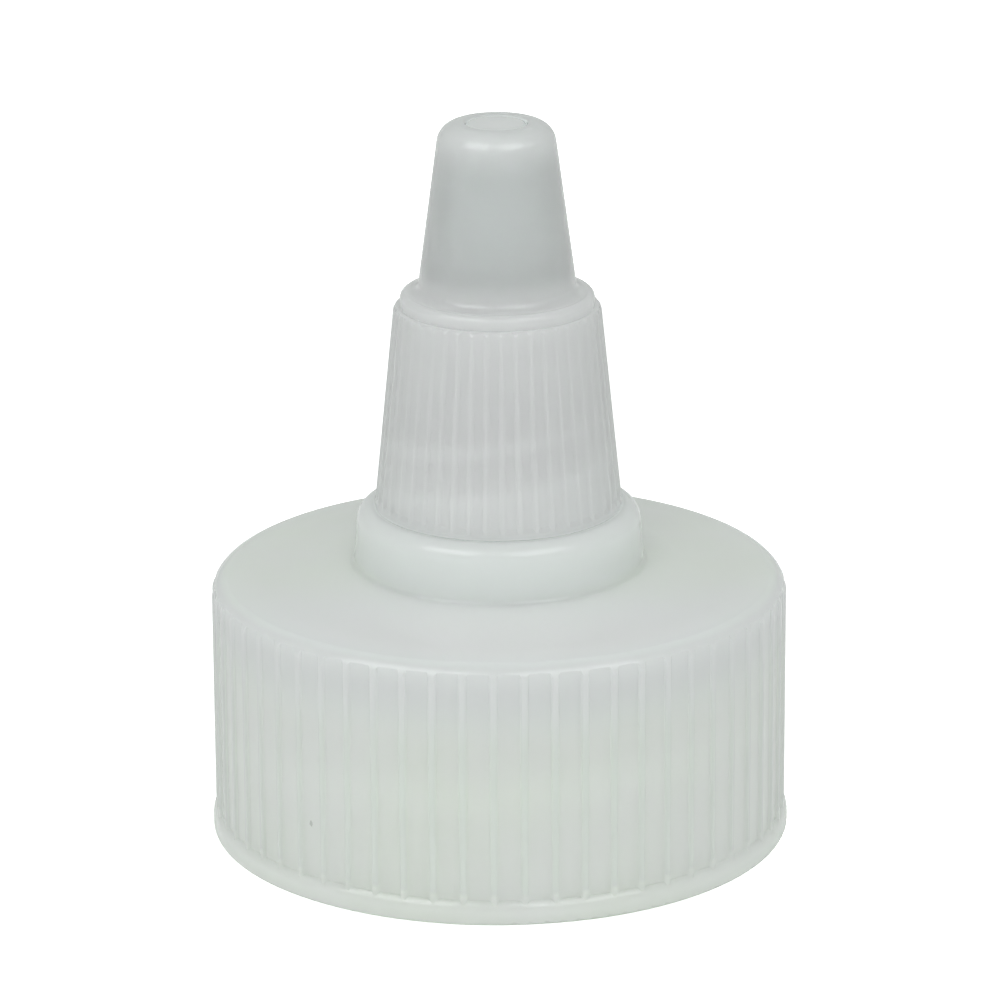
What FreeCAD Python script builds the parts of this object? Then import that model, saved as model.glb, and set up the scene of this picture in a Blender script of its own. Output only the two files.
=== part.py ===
# Twist dispensing cap for a 28 mm bottle neck, in two moulded pieces, in millimetres.
# The origin is on the axis, in the plane of the skirt's open rim, and +Z points up to the orifice.
# closure_base: ribbed skirt, conical deck, seat collar and threaded post with its sealing pin.
# twist_tip: the spout that turns on the post, shown screwed down and closed.
import FreeCAD, Part
import math
import os

# Skirt, measured over its ribs, and the smooth bead around its rim. Turns and fades are angles in degrees.
SKIRT_RADIUS = 15.15
SKIRT_RIBS = 60
SKIRT_RIB_DEPTH = 0.165
SKIRT_RIB_ROOT = 0.48
SKIRT_RIB_CREST = 0.16
SKIRT_RIB_TURN = -1.24
BEAD_STAND = 0.15
BEAD_HEIGHT = 1.45
BEAD_ROUND = 0.80
RIM_ROUND = 0.25
SHOULDER_HEIGHT = 13.89
SHOULDER_ROUND = 1.00
DECK_RISE = 0.79

# Inside of the skirt: plain mouth, neck bore and the thread that grips the bottle
MOUTH_RADIUS = 14.15
MOUTH_DEPTH = 2.10
MOUTH_CHAMFER = 0.20
NECK_BORE_RADIUS = 13.97
NECK_CORNER_ROUND = 0.60
DECK_WALL = 1.45
NECK_THREAD_DEPTH = 0.98
NECK_THREAD_ROOT = 2.10
NECK_THREAD_CREST = 0.90
NECK_THREAD_PITCH = 25.4 / 6
NECK_THREAD_TURNS = 1.30
NECK_THREAD_START = 3.75
NECK_THREAD_FADE = 20

# Ring under the deck that plugs the bottle's mouth
PLUG_RADIUS = 10.30
PLUG_WALL = 0.85
PLUG_DEPTH = 2.20
PLUG_LEAD = 0.30

# Collar on the deck, the seat that the tip closes on
COLLAR_BASE_RADIUS = 7.62
COLLAR_TOP_RADIUS = 7.42
COLLAR_HEIGHT = 3.07
COLLAR_ROUND = 0.85
COLLAR_FOOT_ROUND = 0.30
COLLAR_WALL = 1.20
COLLAR_INNER_ROUND = 0.60

# Post with its two-start thread, seal bead and channel
POST_RADIUS = 4.10
POST_HEIGHT = 5.60
POST_BORE_RADIUS = 2.90
POST_EDGE = 0.30
POST_FOOT_ROUND = 0.30
POST_STARTS = 2
POST_THREAD_DEPTH = 0.72
POST_THREAD_ROOT = 1.30
POST_THREAD_CREST = 0.50
POST_THREAD_SPACING = 2.60
POST_THREAD_TURNS = 0.62
POST_THREAD_START = 1.15
POST_THREAD_FADE = 30
SEAL_BEAD_DROP = 0.80
SEAL_BEAD_HEIGHT = 0.85
SEAL_BEAD_ROUND = 0.40

# Sealing pin, carried in the middle of the channel on a three-armed spider
ARM_COUNT = 3
ARM_WIDTH = 0.90
ARM_HEIGHT = 1.60
PIN_ROOT_RADIUS = 1.75
PIN_EDGE = 0.15
PIN_RECESS = 0.05

# Twist tip: lower ribbed cone, shoulder ring and smooth nozzle
TIP_BASE_RADIUS = 6.50
TIP_BAND_HEIGHT = 0.30
TIP_BAND_EDGE = 0.05
TIP_RIBS = 45
TIP_RIB_DEPTH = 0.14
TIP_RIB_ROOT = 0.40
TIP_RIB_CREST = 0.14
TIP_RIB_RAMP = 1.5
CONE_TAPER = 0.101
CONE_HEIGHT = 10.85
CONE_ROUND = 0.32
RING_INSET = 0.33
RING_HEIGHT = 0.72
RING_ROUND = 0.35
NOZZLE_FOOT_RADIUS = 4.16
NOZZLE_FOOT_ROUND = 0.60
NOZZLE_TAPER = 0.1335
NOZZLE_HEIGHT = 9.01
NOZZLE_ROUND = 1.10

# Inside of the tip
ORIFICE_RADIUS = 1.60
ORIFICE_LAND = 1.05
ORIFICE_EDGE = 0.12
NOZZLE_WALL = 1.12
TIP_BORE_HEIGHT = 5.20
TIP_BORE_EDGE = 0.25
CONE_WALL = 1.15
THROAT_LENGTH = 1.10

# Running clearances between the tip and the closure
THREAD_CLEARANCE = 0.23
SEAL_CLEARANCE = 0.10
PIN_CLEARANCE = 0.05

# How far a ridge or bead reaches into the wall that carries it
ROOTING = 0.12

# Heights and radii that follow from the sizes above
COLLAR_FOOT = SHOULDER_HEIGHT + DECK_RISE
SEAT = COLLAR_FOOT + COLLAR_HEIGHT
POST_TOP = SEAT + POST_HEIGHT
CEILING = SHOULDER_HEIGHT - DECK_WALL
TIP_BORE_RADIUS = POST_RADIUS + POST_THREAD_DEPTH + THREAD_CLEARANCE
CONE_TOP = SEAT + CONE_HEIGHT
CONE_TOP_RADIUS = TIP_BASE_RADIUS - CONE_TAPER * CONE_HEIGHT
RING_TOP = CONE_TOP + RING_HEIGHT
TIP_TOP = RING_TOP + NOZZLE_HEIGHT

AXIS = FreeCAD.Vector(0, 0, 1)
ORIGIN = FreeCAD.Vector(0, 0, 0)


def point(radius, height, angle=0.0):
    """A point given by its distance from the axis, its height and its angle in radians."""
    return FreeCAD.Vector(radius * math.cos(angle), radius * math.sin(angle), height)


def corner_arc(before, corner, after, radius):
    """Start, middle and end of the tangent arc that rounds one corner of an outline."""
    to_before = (before - corner).normalize()
    to_after = (after - corner).normalize()
    half = to_before.getAngle(to_after) / 2
    reach = radius / math.tan(half)
    bisector = (to_before + to_after).normalize()
    middle = corner + bisector * (radius / math.sin(half) - radius)
    return corner + to_before * reach, middle, corner + to_after * reach


def turned(corners):
    """Solid of revolution from a closed outline of (radius, height, rounding) corners."""
    points = [point(radius, height) for radius, height, _ in corners]
    arcs = []
    for i, (_, _, rounding) in enumerate(corners):
        if rounding > 0:
            arcs.append(corner_arc(points[i - 1], points[i], points[(i + 1) % len(points)], rounding))
        else:
            arcs.append((points[i], points[i], points[i]))
    edges = []
    for i, (start, middle, end) in enumerate(arcs):
        if corners[i][2] > 0:
            edges.append(Part.Arc(start, middle, end).toShape())
        following = arcs[(i + 1) % len(arcs)][0]
        if end.distanceToPoint(following) > 1e-6:
            edges.append(Part.LineSegment(end, following).toShape())
    return Part.Face(Part.Wire(edges)).revolve(ORIGIN, AXIS, 360)


def flat_sided(lower, upper):
    """Closed solid between two matching polygons, with flat sides."""
    rings = [lower, upper]
    for i in range(len(lower)):
        j = (i + 1) % len(lower)
        rings.append([lower[i], lower[j], upper[j], upper[i]])
    faces = [Part.Face(Part.makePolygon(ring + ring[:1])) for ring in rings]
    solid = Part.makeSolid(Part.makeShell(faces))
    if solid.Volume < 0:
        solid.reverse()
    return solid


def flutes(count, crest, depth, rib_root, rib_crest, bottom, top, shrink=1.0, turn=0.0, ramp=0.0):
    """The recesses between upright ribs, as tools: the rib crests lie at radius crest at the bottom, shrink
    times that at the top, and each rib is rib_root wide at its foot and rib_crest wide at its crest. The
    first rib stands turn degrees from +X. The floor of each recess rises by ramp for each step inwards."""
    clear = crest + 2 * depth
    flank = [(crest - depth, rib_root / 2), (crest, rib_crest / 2), (clear, rib_crest / 2)]
    tools = []
    for i in range(count):
        near = math.radians(turn) + 2 * math.pi * i / count
        far = near + 2 * math.pi / count
        outline = [rotated(along, across, near) for along, across in flank]
        outline += [rotated(along, -across, far) for along, across in reversed(flank)]
        middle = (near + far) / 2
        lower = []
        for x, y in outline:
            outwards = x * math.cos(middle) + y * math.sin(middle)
            share = ramp * (crest - outwards) / (top - bottom + ramp * outwards * (shrink - 1))
            scale = 1 + (shrink - 1) * share
            lower.append(FreeCAD.Vector(x * scale, y * scale, bottom + (top - bottom) * share))
        upper = [FreeCAD.Vector(x * shrink, y * shrink, top) for x, y in outline]
        tools.append(flat_sided(lower, upper))
    return tools


def rotated(along, across, angle):
    """X and Y of a point at along and across, turned about the axis by an angle."""
    cosine, sine = math.cos(angle), math.sin(angle)
    return along * cosine - across * sine, along * sine + across * cosine


def end_cut(radius, depth, width, end, inwards, height):
    """Tool that fades one end of a thread ridge into its wall: from the wall at the angle end to the crest at
    the angle inwards. The ridge is width wide and its middle lies at that height there."""
    beyond = end + (end - inwards) / 4
    over = radius + 2 * depth
    outline = [(radius, end), (radius + depth, inwards), (over, inwards), (over, beyond), (radius, beyond)]
    lower = [point(r, height - width, angle) for r, angle in outline]
    upper = [point(r, height + width, angle) for r, angle in outline]
    return flat_sided(lower, upper)


def helical_ridge(radius, depth, root_width, crest_width, lead, start, turns, fade, phase=0.0):
    """Right-hand thread ridge on a wall of that radius, faded out over fade degrees at both ends: depth is
    positive outwards and negative inwards."""
    sunk = radius - math.copysign(ROOTING, depth)
    crest = radius + depth
    corners = [
        point(sunk, -root_width / 2),
        point(crest, -crest_width / 2),
        point(crest, crest_width / 2),
        point(sunk, root_width / 2),
    ]
    section = Part.makePolygon(corners + corners[:1])
    path = Part.Wire(Part.makeHelix(lead, lead * turns, radius))
    ridge = path.makePipeShell([section], True, True)
    run = math.radians(fade)
    last = 2 * math.pi * turns
    ridge = ridge.cut([
        end_cut(radius, depth, root_width, 0, run, lead * fade / 720),
        end_cut(radius, depth, root_width, last, last - run, lead * (turns - fade / 720)),
    ])
    ridge.rotate(ORIGIN, AXIS, math.degrees(phase))
    ridge.translate(point(0, start))
    return ridge


def skirt_and_deck():
    """The turned body of the closure: skirt, conical deck, collar and post tube in one section."""
    envelope = turned([
        (MOUTH_RADIUS, BEAD_HEIGHT / 2, 0),
        (SKIRT_RADIUS, BEAD_HEIGHT / 2, 0),
        (SKIRT_RADIUS, SHOULDER_HEIGHT, SHOULDER_ROUND),
        (COLLAR_BASE_RADIUS, COLLAR_FOOT, COLLAR_FOOT_ROUND),
        (COLLAR_TOP_RADIUS, SEAT, COLLAR_ROUND),
        (POST_RADIUS, SEAT, POST_FOOT_ROUND),
        (POST_RADIUS, POST_TOP, POST_EDGE),
        (POST_BORE_RADIUS, POST_TOP, 0),
        (POST_BORE_RADIUS, SEAT - COLLAR_WALL, 0),
        (COLLAR_TOP_RADIUS - COLLAR_WALL, SEAT - COLLAR_WALL, COLLAR_INNER_ROUND),
        (COLLAR_BASE_RADIUS - COLLAR_WALL, CEILING, COLLAR_FOOT_ROUND),
        (PLUG_RADIUS - PLUG_WALL, CEILING, 0),
        (PLUG_RADIUS - PLUG_WALL, CEILING - PLUG_DEPTH, PLUG_LEAD / 2),
        (PLUG_RADIUS, CEILING - PLUG_DEPTH, PLUG_LEAD),
        (PLUG_RADIUS, CEILING, 0),
        (NECK_BORE_RADIUS, CEILING, NECK_CORNER_ROUND),
        (NECK_BORE_RADIUS, MOUTH_DEPTH, 0),
        (MOUTH_RADIUS, MOUTH_DEPTH, 0),
    ])
    return envelope.cut(flutes(SKIRT_RIBS, SKIRT_RADIUS, SKIRT_RIB_DEPTH, SKIRT_RIB_ROOT,
                               SKIRT_RIB_CREST, 0, COLLAR_FOOT, turn=SKIRT_RIB_TURN))


def rim_bead():
    """The smooth ring around the open rim, with a chamfer into the mouth."""
    outside = SKIRT_RADIUS + BEAD_STAND
    return turned([
        (MOUTH_RADIUS, MOUTH_CHAMFER, 0),
        (MOUTH_RADIUS + MOUTH_CHAMFER, 0, 0),
        (outside, 0, RIM_ROUND),
        (outside, BEAD_HEIGHT, BEAD_ROUND),
        (MOUTH_RADIUS, BEAD_HEIGHT, 0),
    ])


def seal_bead():
    """The rounded ring near the post's top that wipes the tip's bore."""
    top = POST_TOP - SEAL_BEAD_DROP
    foot = top - SEAL_BEAD_HEIGHT
    reach = TIP_BORE_RADIUS - SEAL_CLEARANCE
    return turned([
        (POST_RADIUS - ROOTING, foot, 0),
        (reach, foot, SEAL_BEAD_ROUND),
        (reach, top, SEAL_BEAD_ROUND),
        (POST_RADIUS - ROOTING, top, 0),
    ])


def sealing_pin():
    """The tapered pin that closes the orifice, with the spider arms that hold it in the post."""
    foot = POST_TOP - ARM_HEIGHT
    tip_radius = ORIFICE_RADIUS - PIN_CLEARANCE
    pin = turned([
        (0, foot, 0),
        (PIN_ROOT_RADIUS, foot, PIN_EDGE),
        (tip_radius, TIP_TOP - PIN_RECESS, PIN_EDGE),
        (0, TIP_TOP - PIN_RECESS, 0),
    ])
    arms = []
    for i in range(ARM_COUNT):
        length = (POST_BORE_RADIUS + POST_RADIUS) / 2
        arm = Part.makeBox(length, ARM_WIDTH, ARM_HEIGHT, FreeCAD.Vector(0, -ARM_WIDTH / 2, foot))
        arm.rotate(ORIGIN, AXIS, 360 * i / ARM_COUNT)
        arms.append(arm)
    return pin.fuse(arms)


def post_thread():
    """The two-start thread on the post."""
    ridges = []
    for i in range(POST_STARTS):
        ridges.append(helical_ridge(
            POST_RADIUS, POST_THREAD_DEPTH, POST_THREAD_ROOT, POST_THREAD_CREST,
            POST_THREAD_SPACING * POST_STARTS, SEAT + POST_THREAD_START, POST_THREAD_TURNS,
            POST_THREAD_FADE, 2 * math.pi * i / POST_STARTS))
    return ridges


def neck_thread():
    """The single-start thread inside the skirt."""
    return helical_ridge(
        NECK_BORE_RADIUS, -NECK_THREAD_DEPTH, NECK_THREAD_ROOT, NECK_THREAD_CREST,
        NECK_THREAD_PITCH, NECK_THREAD_START, NECK_THREAD_TURNS, NECK_THREAD_FADE)


def closure_base():
    """The whole closure as one moulding."""
    body = skirt_and_deck().fuse(rim_bead()).removeSplitter()
    for piece in [seal_bead(), sealing_pin(), neck_thread()] + post_thread():
        body = body.fuse(piece)
    return body


def twist_tip():
    """The spout: ribbed cone, ring and nozzle, with its bore."""
    wall_at_throat = NOZZLE_FOOT_RADIUS - NOZZLE_WALL
    nozzle_top_radius = NOZZLE_FOOT_RADIUS - NOZZLE_TAPER * NOZZLE_HEIGHT
    land_foot = TIP_TOP - ORIFICE_LAND
    bore_top_radius = nozzle_top_radius + NOZZLE_TAPER * ORIFICE_LAND - NOZZLE_WALL
    envelope = turned([
        (TIP_BORE_RADIUS, SEAT, TIP_BORE_EDGE),
        (TIP_BASE_RADIUS, SEAT, TIP_BAND_EDGE),
        (CONE_TOP_RADIUS, CONE_TOP, CONE_ROUND),
        (CONE_TOP_RADIUS - RING_INSET, CONE_TOP, 0),
        (CONE_TOP_RADIUS - RING_INSET, RING_TOP, RING_ROUND),
        (NOZZLE_FOOT_RADIUS, RING_TOP, NOZZLE_FOOT_ROUND),
        (nozzle_top_radius, TIP_TOP, NOZZLE_ROUND),
        (ORIFICE_RADIUS, TIP_TOP, ORIFICE_EDGE),
        (ORIFICE_RADIUS, land_foot, 0),
        (bore_top_radius, land_foot - (bore_top_radius - ORIFICE_RADIUS), 0),
        (wall_at_throat, RING_TOP, 0),
        (CONE_TOP_RADIUS - CONE_WALL, RING_TOP - THROAT_LENGTH, 0),
        (TIP_BORE_RADIUS, SEAT + TIP_BORE_HEIGHT, 0),
    ])
    band_top = SEAT + TIP_BAND_HEIGHT
    crest_low = TIP_BASE_RADIUS - CONE_TAPER * TIP_BAND_HEIGHT
    shrink = (crest_low - CONE_TAPER * (RING_TOP - band_top)) / crest_low
    grooves = flutes(TIP_RIBS, crest_low, TIP_RIB_DEPTH, TIP_RIB_ROOT, TIP_RIB_CREST,
                     band_top, RING_TOP, shrink, ramp=TIP_RIB_RAMP)
    return envelope.cut(grooves).removeSplitter()


def write(name, shape):
    """Saves one piece as parts/NAME.step, and prints what it is."""
    solids = shape.Solids
    piece = solids[0] if len(solids) == 1 else shape
    print(name, "solids", len(solids), "valid", shape.isValid(), "volume", round(shape.Volume, 2))
    piece.exportStep("parts/" + name + ".step")


os.makedirs("parts", exist_ok=True)
write("closure_base", closure_base())
write("twist_tip", twist_tip())
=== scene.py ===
"""Finish, stage and camera for the twist dispensing cap, laid out as an add-on and run as a script."""

import math

import bpy
from bpy.props import FloatProperty, FloatVectorProperty, PointerProperty
from mathutils import Matrix, Vector


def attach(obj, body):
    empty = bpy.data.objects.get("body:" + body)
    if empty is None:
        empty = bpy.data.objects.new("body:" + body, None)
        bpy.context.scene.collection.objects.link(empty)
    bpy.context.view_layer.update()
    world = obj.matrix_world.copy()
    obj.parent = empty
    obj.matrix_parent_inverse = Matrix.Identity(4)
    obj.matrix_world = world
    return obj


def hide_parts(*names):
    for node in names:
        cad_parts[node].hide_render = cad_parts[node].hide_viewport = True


bl_info = {
    "name": "Twist Dispensing Cap",
    "version": (1, 0, 0),
    "blender": (4, 5, 0),
    "location": "3D View > Sidebar > Cap",
    "description": "Finishes the closure and its twist tip in milky moulded plastic and sets the studio",
    "category": "Object",
}

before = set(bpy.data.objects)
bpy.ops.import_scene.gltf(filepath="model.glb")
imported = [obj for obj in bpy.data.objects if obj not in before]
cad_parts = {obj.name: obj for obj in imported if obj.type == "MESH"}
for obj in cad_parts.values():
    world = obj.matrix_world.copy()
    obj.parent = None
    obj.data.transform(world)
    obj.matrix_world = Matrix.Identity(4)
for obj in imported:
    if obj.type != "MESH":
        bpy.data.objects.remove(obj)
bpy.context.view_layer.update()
MM = 0.001

# How far apart the corners of two triangles of one solid may lie to be joined, and the sharpest smooth edge
JOIN_DISTANCE = 0.002 * MM
SMOOTH_ANGLE = math.radians(32)

# Turned roundings of each moulding in mm: three corners of its profile (radius, height) and the radius of
# the arc at the middle one
CLOSURE_ROUNDINGS = {
    "shoulder": ((15.15, 0.70), (15.15, 13.89), (7.62, 14.68), 1.00),
    "bead": ((15.30, 0.00), (15.30, 1.45), (14.15, 1.45), 0.80),
    "rim": ((14.35, 0.00), (15.30, 0.00), (15.30, 1.45), 0.25),
    "collar foot": ((15.15, 13.89), (7.62, 14.68), (7.42, 17.75), 0.30),
    "collar": ((7.62, 14.68), (7.42, 17.75), (4.10, 17.75), 0.85),
    "pin": ((1.75, 21.75), (1.55, 38.28), (0.00, 38.28), 0.15),
}
TIP_ROUNDINGS = {
    "cone": ((6.50, 17.75), (5.404, 28.60), (5.074, 28.60), 0.32),
    "ring": ((5.074, 28.60), (5.074, 29.32), (4.16, 29.32), 0.35),
    "nozzle foot": ((5.074, 29.32), (4.16, 29.32), (2.957, 38.33), 0.60),
    "nozzle": ((4.16, 29.32), (2.957, 38.33), (1.60, 38.33), 1.10),
    "orifice": ((2.957, 38.33), (1.60, 38.33), (1.60, 37.28), 0.12),
}
# A face belongs to an arc when its corners lie this close to it and it looks along the arc's rays
ARC_FIT = 0.004 * MM
ARC_FACING = 0.9

# Ribbed outsides in mm: radius at the foot, how much it shrinks for each mm of height, lowest and highest
# point, and how far the shading turns towards the plain cone
SKIRT_RIBS = (15.15, 0.0, 0.7, 13.0, 0.97)
CONE_RIBS = (6.50, 0.101, 17.75, 28.6, 0.85)
# The ribs' floors lie within this of their crests, and a face that looks up or down more is no part of them
RIB_REACH = 0.25 * MM
LEVEL_FACE = 0.3

# Moulded plastic: refraction, how light scatters in the wall, and the haze under the glossy skin
REFRACTION = 1.5
SCATTER_RADIUS = (1.0, 1.05, 1.0)
SCATTER_SCALE = 2.2 * MM
CLOSURE_HAZE = 0.5
TIP_HAZE = 0.4

# Fine grain of the mould on the skin, and the slow clouds in the plastic's colour
GRAIN_SCALE = 900
GRAIN_DETAIL = 3
GRAIN_STRENGTH = 0.05
GRAIN_DEPTH = 0.03 * MM
CLOUD_SCALE = 130
CLOUD_DETAIL = 2
CLOUD_RANGE = (0.35, 0.65)

# Where a look of the closure or the tip comes in: along X, Y or Z, or R away from the axis, from one place
# to another in mm
CLOSURE_STEPS = {
    "crests": ("R", 14.99, 15.12),
    "above the bead": ("Z", 1.5, 1.8),
    "upper part": ("Z", 9.0, 14.0),
    "front": ("Y", 0.0, -12.0),
    "shoulder shade begins": ("Z", 9.5, 12.8),
    "shoulder shade ends": ("Z", 13.7, 14.1),
    "collar": ("Z", 14.5, 15.5),
    "post": ("Z", 18.0, 20.0),
}
TIP_STEPS = {
    "cone foot": ("Z", 17.75, 21.5),
    "thread begins": ("Z", 18.8, 19.4),
    "thread ends": ("Z", 22.8, 23.4),
    "nozzle": ("Z", 29.3, 31.0),
    "nozzle top": ("Z", 35.8, 38.2),
}

# Tints of the two plastics, how much scattering is left at the cone's foot, and how much clarity on top. Of
# the closure's tints, crests, front, collar and corner are painted light and shade: darker rib crests, a
# lighter cool cast on the front, a darker collar and a darker band under the shoulder
CLOSURE_CLOUD = (0.88, 0.966, 0.862)
CLOSURE_TINTS = {
    # painted shade: darker rib crests above the bead
    "crests": (0.785, 0.862, 0.775),
    # painted light: a lighter, cooler cast on the front of the upper skirt and deck
    "front": (0.92, 0.975, 0.95),
    # painted shade: a darker, greyer collar
    "collar": (0.87, 0.91, 0.89),
    "post": (0.93, 0.975, 0.96),
    # painted shade: a darker band on the upper skirt under the shoulder
    "corner": (0.79, 0.80, 0.80),
    "speck": (0.6, 0.64, 0.58),
}
TIP_CLOUD = (0.97, 0.98, 0.985)
FOOT_SCATTER = 0.6
TOP_CLARITY = 0.4

# Narrow joints in mm given a painted glow, an emission that stands in for the light led through the
# plastic: inner and outer radius, lowest and highest point
CLOSURE_GLOW_SEAMS = ((6.00, 6.56, 17.60, 17.80), (1.40, 1.70, 37.40, 38.24))
TIP_GLOW_SEAMS = ((5.80, 6.60, 17.70, 17.86), (1.50, 1.70, 37.20, 38.28))
SEAM_GLOW_COLOUR = (0.95, 1, 0.97, 1)
SEAM_GLOW_STRENGTH = 0.07

# Dark speck moulded into the skirt: its place, how its height is squeezed, its raggedness and its reach
SPECK_PLACE = Vector((-9.74, -11.41, 4.20)) * MM
SPECK_SQUEEZE = (1, 1, 0.6)
SPECK_GRAIN = 6000
SPECK_REACH = 0.19 * MM

# Thread that shows through the cone, drawn as painted highlight bands along its crests where the wall gives
# up some of its scattering and clarity: its lead, the height of a crest at +X, how far the shine runs from
# the crest in mm, and how strong it is
THREAD_LEAD = 5.2 * MM
THREAD_LEVEL = 0.38 * MM
THREAD_EDGE = (0.10, 0.60)
THREAD_SHINE = 0.17

# Studio: floor just under the rim, its paper with a glow for all and one for the camera alone, the room's
# tint, and where along Y the room goes from its front wall to its back wall
FLOOR_RADIUS = 0.9
FLOOR_HEIGHT = -0.02 * MM
PAPER_COLOUR = (0.9, 0.9, 0.9, 1)
PAPER_ROUGHNESS = 0.9
PAPER_GLOW = 0.12
PAPER_CAMERA_GLOW = 0.6
WHITE = (1, 1, 1, 1)
ROOM_COLOUR = (0.96, 1, 0.98, 1)
ROOM_DEPTH = (-0.5, 0.7)

# Lights: azimuth and elevation in degrees, distance, width and height in metres
LIGHTS = {
    "left_softbox": (-46, 44, 0.35, 0.27, 0.2),
    "right_softbox": (37, 44, 0.35, 0.27, 0.2),
    "front_fill": (-5, 42, 0.5, 0.45, 0.35),
}
LIGHT_COLOUR = (0.97, 1, 0.99)
LIGHT_TARGET = Vector((0, 0, 0.018))
CAMERA_TARGET = Vector((0.079 * MM, 0, 17.878 * MM))


class ClosureLook(bpy.types.PropertyGroup):
    """Finish of the ribbed closure."""
    colour: FloatVectorProperty(
        name="Colour", description="Milky colour of the closure",
        subtype="COLOR", size=3, min=0, max=1, default=(0.855, 0.974, 0.822))
    clarity: FloatProperty(
        name="Clarity", description="Share of the light that passes straight through the wall",
        subtype="FACTOR", min=0, max=1, default=0.03)
    gloss: FloatProperty(
        name="Gloss", description="Roughness of the glossy moulded skin",
        subtype="FACTOR", min=0, max=1, default=0.1)


class TipLook(bpy.types.PropertyGroup):
    """Finish of the twist tip."""
    cone_colour: FloatVectorProperty(
        name="Cone colour", description="Milky colour of the ribbed cone",
        subtype="COLOR", size=3, min=0, max=1, default=(0.995, 1.0, 0.996))
    nozzle_colour: FloatVectorProperty(
        name="Nozzle colour", description="Cooler colour of the thin-walled nozzle",
        subtype="COLOR", size=3, min=0, max=1, default=(0.96, 1.0, 0.995))
    cone_clarity: FloatProperty(
        name="Cone clarity",
        description="Share of the light that passes straight through the cone's wall",
        subtype="FACTOR", min=0, max=1, default=0.15)
    nozzle_clarity: FloatProperty(
        name="Nozzle clarity",
        description="Share of the light that passes straight through the nozzle's wall",
        subtype="FACTOR", min=0, max=1, default=0.58)
    gloss: FloatProperty(
        name="Gloss", description="Roughness of the glossy moulded skin",
        subtype="FACTOR", min=0, max=1, default=0.1)


class StageLook(bpy.types.PropertyGroup):
    """Studio, lights and camera."""
    front: FloatProperty(
        name="Front wall", description="Brightness of the studio on the camera's side",
        min=0, max=5, default=0.51)
    back: FloatProperty(
        name="Back wall", description="Brightness of the studio behind the cap",
        min=0, max=5, default=0.57)
    left_box: FloatProperty(
        name="Left softbox", description="Power of the softbox on the left",
        min=0, max=5, default=0.42)
    right_box: FloatProperty(
        name="Right softbox", description="Power of the softbox on the right",
        min=0, max=5, default=0.36)
    fill: FloatProperty(
        name="Front fill", description="Power of the wide light over the camera",
        min=0, max=5, default=0.76)
    distance: FloatProperty(
        name="Camera distance", description="From the camera to the point it looks at",
        subtype="DISTANCE", unit="LENGTH", min=0.1, max=2, default=0.3)
    elevation: FloatProperty(
        name="Camera elevation", description="Height of the camera over the floor, as an angle",
        subtype="ANGLE", unit="ROTATION", min=0, max=math.pi / 2, default=math.radians(18.17))
    roll: FloatProperty(
        name="Camera roll", description="Turn of the camera about its own line of sight",
        subtype="ANGLE", unit="ROTATION", min=-0.1, max=0.1, default=math.radians(-0.33))
    lens: FloatProperty(
        name="Focal length", description="Focal length on a sensor 36 mm wide",
        min=20, max=400, default=205.6)


def deselect_all():
    """Leave edit mode and clear the selection, because every operator acts on what is selected."""
    if bpy.context.object and bpy.context.object.mode != "OBJECT":
        bpy.ops.object.mode_set(mode="OBJECT")
    bpy.ops.object.select_all(action="DESELECT")


def only(piece):
    """Select one piece and make it the active one."""
    deselect_all()
    piece.select_set(True)
    bpy.context.view_layer.objects.active = piece


def moulded_copy(node, name):
    """A copy of a solid's mesh with its loose triangles joined, and smooth between its real edges."""
    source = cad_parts[node]
    copy = bpy.data.objects.new(name, source.data.copy())
    copy.data.name = name
    bpy.context.scene.collection.objects.link(copy)
    only(copy)
    bpy.ops.mesh.customdata_custom_splitnormals_clear()
    bpy.ops.object.mode_set(mode="EDIT")
    bpy.ops.mesh.select_all(action="SELECT")
    bpy.ops.mesh.remove_doubles(threshold=JOIN_DISTANCE)
    bpy.ops.object.mode_set(mode="OBJECT")
    bpy.ops.object.shade_smooth_by_angle(angle=SMOOTH_ANGLE)
    return copy


def soft_ribs(piece, foot, taper, low, high, ease):
    """Turn the shading of a ribbed outside part of the way towards the plain cone it was cut from."""
    mesh = piece.data
    normals = [corner.vector.copy() for corner in mesh.corner_normals]
    for face in mesh.polygons:
        if abs(face.normal.z) > LEVEL_FACE:
            continue
        for loop, number in zip(face.loop_indices, face.vertices):
            spot = mesh.vertices[number].co
            around = math.hypot(spot.x, spot.y)
            outside = (foot - taper * (spot.z / MM - low)) * MM
            if around < outside - RIB_REACH or not low * MM <= spot.z <= high * MM:
                continue
            plain = Vector((spot.x / around, spot.y / around, taper)).normalized()
            normals[loop] = normals[loop].lerp(plain, ease).normalized()
    mesh.normals_split_custom_set(normals)


def arc_centre(before, corner, after, radius):
    """Radius and height, in mm, of the ring on which a rounded corner has its centre."""
    corner = Vector(corner)
    first = (Vector(before) - corner).normalized()
    second = (Vector(after) - corner).normalized()
    centre = corner + (first + second).normalized() * radius / math.sin(first.angle(second) / 2)
    return centre.x, centre.y


def true_roundings(piece, roundings):
    """Shade each turned rounding by its arc, so that a highlight runs evenly along it."""
    mesh = piece.data
    normals = [corner.vector.copy() for corner in mesh.corner_normals]
    arcs = [(*arc_centre(*corners), corners[-1]) for corners in roundings.values()]
    for face in mesh.polygons:
        spots = [mesh.vertices[number].co for number in face.vertices]
        for ring, height, radius in arcs:
            rays = []
            for spot in spots:
                around = math.hypot(spot.x, spot.y)
                out = around - ring * MM
                up = spot.z - height * MM
                if abs(math.hypot(out, up) - radius * MM) > ARC_FIT:
                    break
                rays.append(Vector((spot.x * out / around, spot.y * out / around, up)).normalized())
            if len(rays) < len(spots) or abs(rays[0].dot(face.normal)) < ARC_FACING:
                continue
            side = math.copysign(1, rays[0].dot(face.normal))
            for loop, ray in zip(face.loop_indices, rays):
                normals[loop] = ray * side
    mesh.normals_split_custom_set(normals)


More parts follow.
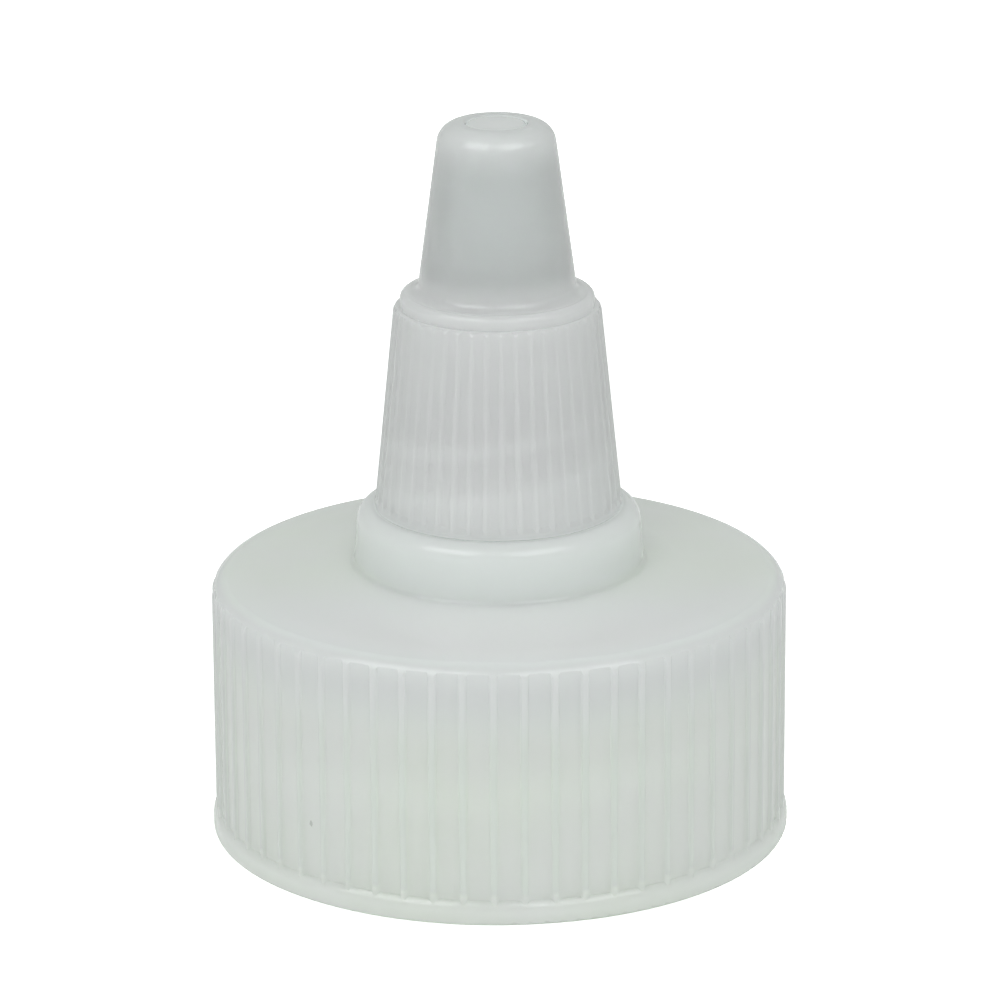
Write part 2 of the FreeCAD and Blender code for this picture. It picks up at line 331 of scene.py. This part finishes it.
def milky_plastic(name, haze, gloss, clarity):
    """Unpigmented moulded plastic: light scatters in the wall, and some of it passes through."""
    material = bpy.data.materials.new(name)
    material.use_nodes = True
    nodes = material.node_tree.nodes
    links = material.node_tree.links
    shader = nodes["Principled BSDF"]
    shader.inputs["Roughness"].default_value = haze
    shader.inputs["Specular IOR Level"].default_value = 0.0
    shader.inputs["Coat Weight"].default_value = 1.0
    shader.inputs["Coat Roughness"].default_value = gloss
    shader.inputs["IOR"].default_value = REFRACTION
    shader.inputs["Transmission Weight"].default_value = clarity
    shader.inputs["Subsurface Weight"].default_value = 1.0
    shader.inputs["Subsurface Radius"].default_value = SCATTER_RADIUS
    shader.inputs["Subsurface Scale"].default_value = SCATTER_SCALE

    place = nodes.new("ShaderNodeTexCoord")
    grain = nodes.new("ShaderNodeTexNoise")
    grain.inputs["Scale"].default_value = GRAIN_SCALE
    grain.inputs["Detail"].default_value = GRAIN_DETAIL
    links.new(place.outputs["Object"], grain.inputs["Vector"])
    relief = nodes.new("ShaderNodeBump")
    relief.inputs["Strength"].default_value = GRAIN_STRENGTH
    relief.inputs["Distance"].default_value = GRAIN_DEPTH
    links.new(grain.outputs["Fac"], relief.inputs["Height"])
    links.new(relief.outputs["Normal"], shader.inputs["Normal"])
    return material, place.outputs["Object"], shader


def joined(material, operation, first, second=0):
    """Result of one sum on two values, each a socket or a number."""
    node = material.node_tree.nodes.new("ShaderNodeMath")
    node.operation = operation
    for socket, value in zip(node.inputs, (first, second)):
        if isinstance(value, (int, float)):
            socket.default_value = value
        else:
            material.node_tree.links.new(value, socket)
    return node.outputs["Value"]


def measure(material, place, axis):
    """The place along X, Y or Z, or for R the distance from the cap's axis."""
    split = material.node_tree.nodes.new("ShaderNodeSeparateXYZ")
    material.node_tree.links.new(place, split.inputs["Vector"])
    if axis != "R":
        return split.outputs[axis]
    squares = [joined(material, "MULTIPLY", split.outputs[side], split.outputs[side]) for side in "XY"]
    return joined(material, "SQRT", joined(material, "ADD", *squares))


def soft_step(material, value, low, high, start=0.0, end=1.0):
    """Goes softly from start to end while a value in metres goes from low to high, both in mm."""
    ramp = material.node_tree.nodes.new("ShaderNodeMapRange")
    ramp.interpolation_type = "SMOOTHSTEP"
    ramp.inputs["From Min"].default_value = low * MM
    ramp.inputs["From Max"].default_value = high * MM
    ramp.inputs["To Min"].default_value = start
    ramp.inputs["To Max"].default_value = end
    material.node_tree.links.new(value, ramp.inputs["Value"])
    return ramp.outputs["Result"]


def rise(material, place, step, start=0.0, end=1.0):
    """Goes softly from start to end over one of the steps listed above."""
    axis, low, high = step
    return soft_step(material, measure(material, place, axis), low, high, start, end)


def within(material, value, low, high):
    """1 where a value in metres lies between two limits in mm, 0 elsewhere."""
    above = joined(material, "GREATER_THAN", value, low * MM)
    return joined(material, "MULTIPLY", above, joined(material, "LESS_THAN", value, high * MM))


def tinted(material, colour, tint, share):
    """A colour, given as a socket or as numbers, turned towards a tint by a share."""
    links = material.node_tree.links
    blend = material.node_tree.nodes.new("ShaderNodeMix")
    blend.data_type = "RGBA"
    if isinstance(colour, bpy.types.NodeSocket):
        links.new(colour, blend.inputs["A"])
    else:
        blend.inputs["A"].default_value = (*colour, 1)
    blend.inputs["B"].default_value = (*tint, 1)
    links.new(share, blend.inputs["Factor"])
    return blend.outputs["Result"]


def clouded(material, place, colour, tint):
    """A colour that drifts a little towards a tint, as the melt did when it set."""
    nodes = material.node_tree.nodes
    links = material.node_tree.links
    cloud = nodes.new("ShaderNodeTexNoise")
    cloud.inputs["Scale"].default_value = CLOUD_SCALE
    cloud.inputs["Detail"].default_value = CLOUD_DETAIL
    links.new(place, cloud.inputs["Vector"])
    spread = nodes.new("ShaderNodeMapRange")
    spread.inputs["From Min"].default_value, spread.inputs["From Max"].default_value = CLOUD_RANGE
    links.new(cloud.outputs["Fac"], spread.inputs["Value"])
    return tinted(material, colour, tint, spread.outputs["Result"])


def speck(material, place):
    """1 on the small dark speck in the skirt, 0 elsewhere."""
    nodes = material.node_tree.nodes
    links = material.node_tree.links
    ragged = nodes.new("ShaderNodeTexNoise")
    ragged.inputs["Scale"].default_value = SPECK_GRAIN
    links.new(place, ragged.inputs["Vector"])
    flat = nodes.new("ShaderNodeVectorMath")
    flat.operation = "MULTIPLY"
    flat.inputs[1].default_value = SPECK_SQUEEZE
    links.new(place, flat.inputs[0])
    gap = nodes.new("ShaderNodeVectorMath")
    gap.operation = "DISTANCE"
    gap.inputs[1].default_value = SPECK_PLACE * Vector(SPECK_SQUEEZE)
    links.new(flat.outputs["Vector"], gap.inputs[0])
    reach = joined(material, "MULTIPLY", ragged.outputs["Fac"], SPECK_REACH)
    return joined(material, "LESS_THAN", gap.outputs["Value"], reach)


def painted_seam_glow(material, place, shader, seams):
    """Paint a faint glow into the narrow joints, an emission standing in for the light that the wall of a
    milky moulding leads into them.
    """
    around = measure(material, place, "R")
    height = measure(material, place, "Z")
    total = 0
    for inner, outer, low, high in seams:
        ring = within(material, around, inner, outer)
        total = joined(material, "ADD", total,
                       joined(material, "MULTIPLY", ring, within(material, height, low, high)))
    shader.inputs["Emission Color"].default_value = SEAM_GLOW_COLOUR
    material.cycles.emission_sampling = "NONE"
    strength = joined(material, "MULTIPLY", total, SEAM_GLOW_STRENGTH)
    material.node_tree.links.new(strength, shader.inputs["Emission Strength"])


def closure_plastic(look):
    """Milky, slightly green plastic of the closure, with one dark speck in the skirt, and painted shade and
    light in its colour: darker rib crests, collar and band under the shoulder, and a lighter cool front.
    """
    material, place, shader = milky_plastic("closure_plastic", CLOSURE_HAZE, look.gloss, look.clarity)
    links = material.node_tree.links
    step = {name: rise(material, place, places) for name, places in CLOSURE_STEPS.items()}
    shares = {
        # crests, front, collar and corner lay painted shade and light into the colour
        "crests": joined(material, "MULTIPLY", step["crests"], step["above the bead"]),
        "front": joined(material, "MULTIPLY", step["upper part"], step["front"]),
        "collar": step["collar"],
        "post": step["post"],
        # painted shade under the shoulder
        "corner": joined(material, "SUBTRACT", step["shoulder shade begins"], step["shoulder shade ends"]),
        "speck": speck(material, place),
    }
    colour = clouded(material, place, look.colour, CLOSURE_CLOUD)
    for name, share in shares.items():
        colour = tinted(material, colour, CLOSURE_TINTS[name], share)
    links.new(colour, shader.inputs["Base Color"])
    links.new(joined(material, "SUBTRACT", 1, shares["speck"]), shader.inputs["Subsurface Weight"])
    # painted glow in the joint under the tip and round the pin
    painted_seam_glow(material, place, shader, CLOSURE_GLOW_SEAMS)
    return material


def thread_shine(material, place):
    """Painted highlight that grows towards the crests of the two-start thread showing faintly through the
    cone's wall.
    """
    split = material.node_tree.nodes.new("ShaderNodeSeparateXYZ")
    material.node_tree.links.new(place, split.inputs["Vector"])
    turn = joined(material, "ARCTAN2", split.outputs["Y"], split.outputs["X"])
    climb = joined(material, "MULTIPLY", turn, THREAD_LEAD / (2 * math.pi))
    height = joined(material, "SUBTRACT", split.outputs["Z"], climb)
    away = joined(material, "PINGPONG", joined(material, "SUBTRACT", height, THREAD_LEVEL), THREAD_LEAD / 4)
    crest = soft_step(material, away, *THREAD_EDGE, 1.0, 0.0)
    begins = rise(material, place, TIP_STEPS["thread begins"])
    ends = rise(material, place, TIP_STEPS["thread ends"])
    zone = joined(material, "SUBTRACT", begins, ends)
    return joined(material, "MULTIPLY", joined(material, "MULTIPLY", crest, zone), THREAD_SHINE)


def tip_plastic(look):
    """Milky plastic of the tip, clearer and cooler up in the thin nozzle."""
    material, place, shader = milky_plastic("tip_plastic", TIP_HAZE, look.gloss, look.cone_clarity)
    links = material.node_tree.links
    colour = clouded(material, place, look.cone_colour, TIP_CLOUD)
    colour = tinted(material, colour, look.nozzle_colour, rise(material, place, TIP_STEPS["nozzle"]))
    links.new(colour, shader.inputs["Base Color"])

    # painted highlight bands along the thread take scattering and clarity from the wall
    plain = joined(material, "SUBTRACT", 1, thread_shine(material, place))
    depth = rise(material, place, TIP_STEPS["cone foot"], FOOT_SCATTER, 1.0)
    links.new(joined(material, "MULTIPLY", depth, plain), shader.inputs["Subsurface Weight"])
    clear = rise(material, place, TIP_STEPS["nozzle"], look.cone_clarity, look.nozzle_clarity)
    thick = rise(material, place, TIP_STEPS["nozzle top"], 1.0, TOP_CLARITY)
    share = joined(material, "MULTIPLY", clear, thick)
    links.new(joined(material, "MULTIPLY", share, plain), shader.inputs["Transmission Weight"])
    # painted glow at the tip's foot and in its orifice
    painted_seam_glow(material, place, shader, TIP_GLOW_SEAMS)
    return material


def dress(piece, material, body):
    """Give a piece its finish and let it move with its body."""
    piece.data.materials.clear()
    piece.data.materials.append(material)
    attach(piece, body)


class CAP_OT_closure(bpy.types.Operator):
    """Make the closure from its solid and finish it in milky plastic"""
    bl_idname = "cap.closure"
    bl_label = "Finish the closure"

    def execute(self, context):
        piece = moulded_copy("closure_base", "closure_shell")
        soft_ribs(piece, *SKIRT_RIBS)
        true_roundings(piece, CLOSURE_ROUNDINGS)
        dress(piece, closure_plastic(context.scene.cap_closure), "closure")
        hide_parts("closure_base")
        return {"FINISHED"}


class CAP_OT_tip(bpy.types.Operator):
    """Make the twist tip from its solid and finish it in clearer plastic"""
    bl_idname = "cap.tip"
    bl_label = "Finish the twist tip"

    def execute(self, context):
        piece = moulded_copy("twist_tip", "tip_shell")
        soft_ribs(piece, *CONE_RIBS)
        true_roundings(piece, TIP_ROUNDINGS)
        dress(piece, tip_plastic(context.scene.cap_tip), "tip")
        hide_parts("twist_tip")
        return {"FINISHED"}


def look_at(place, target, roll=0.0):
    """Matrix of a camera or light at a place, looking at a target."""
    turn = (target - place).to_track_quat("-Z", "Y").to_matrix().to_4x4()
    return Matrix.Translation(place) @ turn @ Matrix.Rotation(roll, 4, "Z")


def softbox(name, power):
    """A soft rectangular light that faces the cap. Azimuth 0 is in front, on the camera's side."""
    azimuth, elevation, distance, width, height = LIGHTS[name]
    azimuth, elevation = math.radians(azimuth), math.radians(elevation)
    data = bpy.data.lights.new(name, "AREA")
    data.shape = "RECTANGLE"
    data.size = width
    data.size_y = height
    data.energy = power
    data.color = LIGHT_COLOUR
    light = bpy.data.objects.new(name, data)
    bpy.context.scene.collection.objects.link(light)
    out = Vector((math.sin(azimuth) * math.cos(elevation), -math.cos(azimuth) * math.cos(elevation),
                  math.sin(elevation)))
    light.matrix_world = look_at(LIGHT_TARGET + out * distance, LIGHT_TARGET)
    return light


def gloss_only(light):
    """Let a light show in the glossy skin alone, and leave the plastic's own brightness to the room."""
    light.visible_diffuse = False
    light.visible_transmission = False


def white_paper():
    """Pale paper of the studio floor, bright enough to print white around the cap."""
    paper = bpy.data.materials.new("white_paper")
    paper.use_nodes = True
    nodes = paper.node_tree.nodes
    links = paper.node_tree.links
    sheet = nodes["Principled BSDF"]
    sheet.inputs["Base Color"].default_value = PAPER_COLOUR
    sheet.inputs["Roughness"].default_value = PAPER_ROUGHNESS
    sheet.inputs["Emission Color"].default_value = WHITE
    path = nodes.new("ShaderNodeLightPath")
    glow = nodes.new("ShaderNodeMath")
    glow.operation = "MULTIPLY_ADD"
    glow.inputs[1].default_value = PAPER_CAMERA_GLOW
    glow.inputs[2].default_value = PAPER_GLOW
    links.new(path.outputs["Is Camera Ray"], glow.inputs[0])
    links.new(glow.outputs["Value"], sheet.inputs["Emission Strength"])
    return paper


def studio_floor():
    """Round sheet of paper under the cap."""
    deselect_all()
    bpy.ops.mesh.primitive_circle_add(
        vertices=96, radius=FLOOR_RADIUS, fill_type="NGON", location=(0, 0, FLOOR_HEIGHT))
    floor = bpy.context.object
    floor.name = "studio_floor"
    floor.data.materials.append(white_paper())


def studio_air(front, back):
    """Room that lights the cap from all sides, and prints pure white where the camera sees it."""
    world = bpy.data.worlds.new("studio_air")
    world.use_nodes = True
    nodes = world.node_tree.nodes
    links = world.node_tree.links
    room = nodes["Background"]
    room.inputs["Color"].default_value = ROOM_COLOUR
    side = nodes.new("ShaderNodeTexCoord")
    part = nodes.new("ShaderNodeSeparateXYZ")
    depth = nodes.new("ShaderNodeMapRange")
    depth.interpolation_type = "SMOOTHSTEP"
    depth.inputs["From Min"].default_value, depth.inputs["From Max"].default_value = ROOM_DEPTH
    depth.inputs["To Min"].default_value = front
    depth.inputs["To Max"].default_value = back
    links.new(side.outputs["Generated"], part.inputs["Vector"])
    links.new(part.outputs["Y"], depth.inputs["Value"])
    links.new(depth.outputs["Result"], room.inputs["Strength"])
    backdrop = nodes.new("ShaderNodeBackground")
    backdrop.inputs["Color"].default_value = WHITE
    backdrop.inputs["Strength"].default_value = 1.0
    path = nodes.new("ShaderNodeLightPath")
    share = nodes.new("ShaderNodeMixShader")
    links.new(path.outputs["Is Camera Ray"], share.inputs["Fac"])
    links.new(room.outputs["Background"], share.inputs[1])
    links.new(backdrop.outputs["Background"], share.inputs[2])
    links.new(share.outputs["Shader"], nodes["World Output"].inputs["Surface"])
    return world


def photo_camera(look):
    """Camera of the photo's view."""
    data = bpy.data.cameras.new("photo_camera")
    data.sensor_width = 36
    data.lens = look.lens
    data.clip_start = 0.01
    camera = bpy.data.objects.new("photo_camera", data)
    bpy.context.scene.collection.objects.link(camera)
    back = Vector((0, -math.cos(look.elevation), math.sin(look.elevation))) * look.distance
    camera.matrix_world = look_at(CAMERA_TARGET + back, CAMERA_TARGET, look.roll)
    return camera


class CAP_OT_stage(bpy.types.Operator):
    """Set up the white studio, its lights and the camera"""
    bl_idname = "cap.stage"
    bl_label = "Set the stage"

    def execute(self, context):
        look = context.scene.cap_stage
        scene = context.scene
        scene.view_settings.view_transform = "Standard"
        scene.cycles.max_bounces = 10
        scene.cycles.diffuse_bounces = 5
        scene.cycles.transmission_bounces = 7
        studio_floor()
        scene.world = studio_air(look.front, look.back)
        gloss_only(softbox("left_softbox", look.left_box))
        gloss_only(softbox("right_softbox", look.right_box))
        softbox("front_fill", look.fill).visible_glossy = False
        scene.camera = photo_camera(look)
        return {"FINISHED"}


class CAP_PT_panel(bpy.types.Panel):
    """Lists the steps that build the cap."""
    bl_idname = "CAP_PT_panel"
    bl_label = "Twist dispensing cap"
    bl_space_type = "VIEW_3D"
    bl_region_type = "UI"
    bl_category = "Cap"

    def draw(self, context):
        for group, operator in (("cap_closure", "cap.closure"), ("cap_tip", "cap.tip"),
                                ("cap_stage", "cap.stage")):
            box = self.layout.box()
            settings = getattr(context.scene, group)
            for name in settings.__annotations__:
                box.prop(settings, name)
            box.operator(operator)


GROUPS = {"cap_closure": ClosureLook, "cap_tip": TipLook, "cap_stage": StageLook}
CLASSES = (*GROUPS.values(), CAP_OT_closure, CAP_OT_tip, CAP_OT_stage, CAP_PT_panel)


def register():
    for item in CLASSES:
        bpy.utils.register_class(item)
    for name, group in GROUPS.items():
        setattr(bpy.types.Scene, name, PointerProperty(type=group))


def unregister():
    for name in GROUPS:
        delattr(bpy.types.Scene, name)
    for item in reversed(CLASSES):
        bpy.utils.unregister_class(item)


def main():
    register()
    bpy.ops.cap.closure()
    bpy.ops.cap.tip()
    bpy.ops.cap.stage()


if __name__ == "__main__":
    main()
